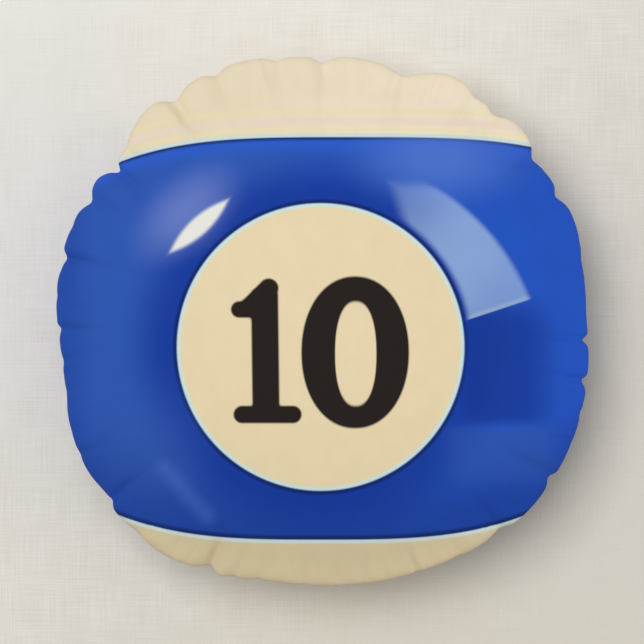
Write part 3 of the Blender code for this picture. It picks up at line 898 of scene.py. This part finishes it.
def threads(cover_thread, lining_thread):
    """The cover's seam from one end of the zip round to the other, and the insert's seam."""
    overhang = ZIP_HALF_ARC + 2 * ZIP_BLEND
    first = float(polar_of_zip(-pi / 2 + overhang))
    last = float(polar_of_zip(-pi / 2 - overhang)) + 2 * pi
    for name, count, line, radius, node in (
        ("cover_seam_stitches", 3600, COVER_STITCH, THREAD_RADIUS, "cover_seam_thread"),
        ("cover_overlock_stitches", 6000, OVERLOCK, OVERLOCK_THREAD_RADIUS, "cover_overlock"),
    ):
        points = stitched(np.linspace(first, last, count), *line)
        strand(name, points, radius, cover_thread, node)
    for name, low, high, node in (
        ("insert_seam_stitches", -75, 254, "insert_seam_thread"),
        ("insert_closing_stitches", 256, 283, "insert_closing_thread"),
    ):
        turns = np.linspace(radians(low), radians(high), int((high - low) * 9))
        points = stitched(turns, *INSERT_STITCH)
        strand(name, points, THREAD_RADIUS, lining_thread, node)


def coils(nylon):
    """Two helical nylon coils, side by side along the zip."""
    half_width = COIL_HALF_WIDTH - COIL_WIRE_RADIUS
    for side, where in ((1, "front"), (-1, "back")):
        low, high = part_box(f"zip_coil_{where}")
        half_height = (high.z - low.z) / 2 - COIL_WIRE_RADIUS
        end = np.arctan2(high.y - COIL_END_INSET - ZIP_AXIS_Y, high.x - COIL_END_INSET)
        start = -pi - end
        rounds = int((end - start) * COIL_RADIUS / COIL_PITCH)
        phase = np.linspace(0, rounds * 2 * pi, rounds * 10)
        turn = start + (end - start) * phase / phase[-1]
        points = around(COIL_RADIUS + half_width * np.cos(phase), turn, 0.0)
        points[:, 1] += ZIP_AXIS_Y
        points[:, 2] = (low.z + high.z) / 2 + half_height * np.sin(phase) * side
        name = f"zip_coil_helix_{where}"
        strand(name, points, COIL_WIRE_RADIUS, nylon, f"zip_coil_{where}")


# ================================================================ insert and filling
# From the rim inwards, as (inset, distance from the seam): over the cover's allowance to the seam.
INNER_EDGE = (
    (0.0110, 0.0078), (0.0140, 0.0064), (0.0260, 0.0060), (0.0290, 0.0022),
    (0.0312, SEAM_GAP), (0.0350, SEAM_GAP), (0.0380, SEAM_GAP),
)
FILL_EDGE = ((0.0170, 0.0120), (0.0230, 0.0098), (0.0320, 0.0086), (0.0400, 0.0056), (0.0425, 0.0))
LINING_CLEARANCE = 0.0036  # from the cover's outer surface in to the lining's
FILL_CLEARANCE = 0.0072
LINING = 0.0005


def outward_normals(points, faces):
    """A unit vector out of the surface at each point."""
    corners = points[faces]
    crossed = np.cross(corners[:, 2] - corners[:, 0], corners[:, 3] - corners[:, 1])
    normals = np.zeros_like(points)
    for corner in range(4):
        np.add.at(normals, faces[:, corner], crossed)
    return normals / np.linalg.norm(normals, axis=1)[:, None]


def inner_layer(side, clearance, edge_points):
    """A layer inside a cover panel: the panel's own form drawn in, then folded in at the seam."""
    _, turn, faces, outer = panel_grid()
    points = STUFFED[side] - outward_normals(STUFFED[side], faces) * clearance
    points = evened(points, faces, 6)
    first_inset, first_rise = edge_points[0]
    limit = edge(turn, first_inset, first_inset)
    radius = np.hypot(points[:, 0], points[:, 1])
    points[:, :2] *= (soft_least(radius, limit, 0.003) / np.maximum(radius, 1e-6))[:, None]
    inside = edge(turn, 0.0, 0.0) - np.hypot(points[:, 0], points[:, 1])
    ledge = first_rise * (1 - smooth_share(0.030, 0.045, inside))
    points[:, 2] = np.maximum(points[:, 2], ledge)
    turn = turn[outer]
    rings = [around(edge(turn, inset, inset), turn, rise) for inset, rise in edge_points]
    return with_rings(points, faces, outer, rings, side)


def insert(lining):
    """The two lining panels that hold the filling."""
    for side, where in ((1, "front"), (-1, "back")):
        name = f"insert_panel_{where}"
        mesh = mesh_of(name, *inner_layer(side, LINING_CLEARANCE, INNER_EDGE))
        obj = link(name, mesh, lining, f"insert_{where}")
        thickened(obj, LINING)


def filling(fibre):
    """The stuffing's own outer form, matted into soft lumps."""
    bm = bmesh.new()
    for side in (1, -1):
        half = mesh_of("half", *inner_layer(side, FILL_CLEARANCE, FILL_EDGE))
        bm.from_mesh(half)
        bpy.data.meshes.remove(half)
    bmesh.ops.remove_doubles(bm, verts=bm.verts, dist=1e-5)
    mesh = bpy.data.meshes.new("insert_fibre_filling")
    bm.to_mesh(mesh)
    bm.free()
    mesh.shade_smooth()
    obj = link("insert_fibre_filling", mesh, fibre, "insert_filling")
    finer = obj.modifiers.new("Subdivision", "SUBSURF")
    finer.levels = finer.render_levels = 1
    texture = bpy.data.textures.new("fibre clumps", "CLOUDS")
    texture.noise_scale = 0.016
    texture.noise_depth = 3
    lumps = obj.modifiers.new("Displace", "DISPLACE")
    lumps.texture = texture
    lumps.texture_coords = "LOCAL"
    lumps.strength = 0.0022
    lumps.mid_level = 1.0


# ================================================================ care label
LABEL_WIDTH = 0.015
LABEL_LENGTH = 0.040  # folded in half
LABEL_TURN = radians(207)
LABEL_CAUGHT = 0.008  # its length inside the seam
LABEL_THICKNESS = 0.0002
LABEL_LIFTS = (0.0007, 0.0013)  # of its two layers, from the back panel
LABEL_SPREAD = 0.0002  # its layers' ends spread this much further apart inside the seam
LABEL_ROWS, LABEL_COLUMNS = 30, 9
LABEL_END_ROWS = 9  # the rows that spread so


def back_profile(turn):
    """The back panel's outer surface along one turn, from the seam inwards."""
    share = panel_grid()[0]
    turn = turn if turn < pi else turn - 2 * pi
    profile = []
    for step in range(GRID, GRID // 2, -1):
        ring = STUFFED[-1][np.isclose(share, step / GRID)]
        ring_turn = np.arctan2(ring[:, 1], ring[:, 0])
        order = np.argsort(ring_turn)
        radius = np.hypot(ring[:, 0], ring[:, 1])
        values = (radius[order], ring[order, 2])
        profile.append([np.interp(turn, ring_turn[order], value) for value in values])
    return np.array(profile)


def label_line(turn, lift, lengths):
    """A line on the label: out of the seam, then over the back panel at a small distance from it."""
    profile = back_profile(turn)
    run = np.gradient(profile, axis=0)
    run /= np.linalg.norm(run, axis=1)[:, None]
    profile = profile + np.column_stack([run[:, 1], -run[:, 0]]) * lift
    seam = profile[0, 0]
    caught = np.array([[seam - LABEL_CAUGHT, 0.0], [seam - 0.25 * LABEL_CAUGHT, 0.0]])
    profile = np.vstack([caught, profile[1:]])
    length = np.concatenate([[0], np.cumsum(np.linalg.norm(np.diff(profile, axis=0), axis=1))])
    radius, drop = (np.interp(lengths, length, profile[:, n]) for n in (0, 1))
    return around(radius, turn + 0 * radius, SEAM_HEIGHT - drop)


def care_label(satin):
    """A blank ribbon, folded in half and caught in the seam, that lies on the back panel."""
    lengths = np.linspace(0, LABEL_LENGTH, LABEL_ROWS)
    half = LABEL_WIDTH / 2 / RIM_RADIUS
    turns = LABEL_TURN + np.linspace(-half, half, LABEL_COLUMNS)
    layers = []
    for lift in LABEL_LIFTS:
        layer = np.array([label_line(turn, lift, lengths) for turn in turns]).transpose(1, 0, 2)
        for _ in range(4):
            layer[:, 1:-1] = (layer[:, :-2] + 2 * layer[:, 1:-1] + layer[:, 2:]) / 4
            layer[1:-1] = (layer[:-2] + 2 * layer[1:-1] + layer[2:]) / 4
        layers.append(layer)
    layers[0][:LABEL_END_ROWS, :, 2] -= LABEL_SPREAD
    layers[1][:LABEL_END_ROWS, :, 2] += LABEL_SPREAD
    rows = np.concatenate([layers[0], layers[1][::-1]])
    numbers = np.arange(len(rows) * LABEL_COLUMNS).reshape(len(rows), LABEL_COLUMNS)
    corners = (numbers[:-1, :-1], numbers[:-1, 1:], numbers[1:, 1:], numbers[1:, :-1])
    faces = np.stack(corners, -1).reshape(-1, 4)
    mesh = mesh_of("care_label_ribbon", rows.reshape(-1, 3), faces)
    obj = link("care_label_ribbon", mesh, satin, "care_label")
    thickened(obj, LABEL_THICKNESS, offset=0)


# ================================================================ light, floor and camera
VIEW_WIDTH = 0.4583  # at the height of the pillow's widest part
WIDEST_HEIGHT = SEAM_HEIGHT + 0.010
CAMERA_HEIGHT = 1.70
FLOOR_SIZE = 8


def floor():
    """Off-white linen: faint crossing threads of uneven thickness, painted lighter towards the upper
    left and darker and warmer towards the lower right, as painted light falloff from the lamp.
    """
    made, tree, shader = new_material("pale linen", 0.9)
    shader.inputs["Specular IOR Level"].default_value = 0.1
    place = object_place(tree)
    grain = noise(tree, place, 40, 3.0)
    upright = slubs(tree, place, (900, 26, 1))
    level = slubs(tree, place, (26, 900, 1))
    across, upwards, _ = split_axes(tree, place)
    # Painted light and shade: the floor's colour gets darker and warmer from the upper left towards
    # the lower right, where the lamp's light falls off.
    painted_light_falloff = Field(tree, across) - Field(tree, upwards)
    shade = grain * 0.25 + (upright + level) * 0.375 - painted_light_falloff.share(-0.5, 0.5) * 0.50 + 0.22
    mixed = blend_colours(shade.share(0.2, 0.8), srgb(222, 217, 206), srgb(240, 238, 233))
    dress(tree, shader, mixed, normal=bump(tree, upright + level, 0.0004, 0.35))
    bpy.ops.mesh.primitive_plane_add(size=FLOOR_SIZE)
    plane = bpy.context.object
    plane.name = "floor"
    plane.data.materials.append(made)


def slubs(tree, place, scale):
    """Noise drawn out along one axis, like threads of uneven thickness."""
    stretch = tree.nodes.new("ShaderNodeMapping")
    stretch.inputs["Scale"].default_value = scale
    tree.links.new(place, stretch.inputs["Vector"])
    return noise(tree, stretch.outputs["Vector"], 1.0, 2.0)


def area_light(name, place, aim, size, energy):
    """A square lamp that shines from one place at another."""
    data = bpy.data.lights.new(name, "AREA")
    data.size = size
    data.energy = energy
    lamp = bpy.data.objects.new(name, data)
    scene.collection.objects.link(lamp)
    lamp.location = place
    lamp.rotation_euler = (Vector(aim) - lamp.location).to_track_quat("-Z", "Y").to_euler()


def studio():
    """A warm, even room, one big lamp high on the upper left, and a weak one low on the right."""
    world = bpy.data.worlds.new("soft room")
    scene.world = world
    world.use_nodes = True
    background = world.node_tree.nodes["Background"]
    background.inputs["Color"].default_value = (1.0, 0.98, 0.945, 1)
    background.inputs["Strength"].default_value = 0.36
    area_light("overhead", (-0.66, 0.50, 2.4), (0, 0, 0), 1.5, 37.5)
    area_light("low fill", (1.8, -0.4, 0.7), (0, 0, 0.05), 1.0, 8)
    scene.view_settings.view_transform = "Standard"


def camera():
    """Straight down on the pillow, as in the photo."""
    data = bpy.data.cameras.new("camera")
    data.sensor_width = 36
    data.lens = data.sensor_width * (CAMERA_HEIGHT - WIDEST_HEIGHT) / VIEW_WIDTH
    eye = bpy.data.objects.new("camera", data)
    scene.collection.objects.link(eye)
    eye.location = (0, 0, CAMERA_HEIGHT)
    scene.camera = eye


# ================================================================ build
def finish_cad_nodes(metal, tape, tack):
    """The small hard pieces keep their design shapes and take rounder edges and real finishes."""
    for node, finish, rounding in (
        ("zip_slider", metal, 0.00018), ("zip_pull", metal, 0.00022),
        ("zip_top_stop_front", metal, 0.0003), ("zip_top_stop_back", metal, 0.0003),
        ("zip_bottom_stop", metal, 0.0003), ("zip_tape_front", tape, 0), ("zip_tape_back", tape, 0),
        ("zip_bar_tack_left", tack, 0.00015), ("zip_bar_tack_right", tack, 0.00015),
    ):
        obj = frame["nodes"][node]
        obj.data.materials.clear()
        obj.data.materials.append(finish)
        if rounding:
            bevel = obj.modifiers.new("Bevel", "BEVEL")
            bevel.width = rounding
            bevel.segments = 2
            bevel.limit_method = "ANGLE"


CREAM_THREAD = srgb(224, 212, 182)
WHITE_CLOTH = srgb(240, 240, 238)
SATIN_WHITE = srgb(243, 243, 240)
ZIP_BLUE = srgb(30, 62, 140)

floor()
studio()
camera()
STUFFED = {side: stuffed_panel(side) for side in (1, -1)}
front_cloth = printed_cloth("printed brushed polyester, front")
cover("pillow_cover_front", 1, front_cloth, "cover_front")
back_cloth = printed_cloth("printed brushed polyester, back")
pillow_back = cover("pillow_cover_back", -1, back_cloth, "cover_back")
threads(thread_finish("cream thread", CREAM_THREAD), thread_finish("white thread", WHITE_CLOTH))
coils(nylon_finish("nylon coil", ZIP_BLUE))
insert(cloth_finish("non-woven lining", WHITE_CLOTH, 0.85, 420, 0.0002, lumps=0.0008))
filling(fibre_finish())
care_label(cloth_finish("satin ribbon", SATIN_WHITE, 0.45, 1100, 0.00006, sheen=0.3))
finish_cad_nodes(
    metal_finish(),
    cloth_finish("woven zip tape", ZIP_BLUE, 0.85, 900, 0.0001),
    thread_finish("blue thread", ZIP_BLUE),
)
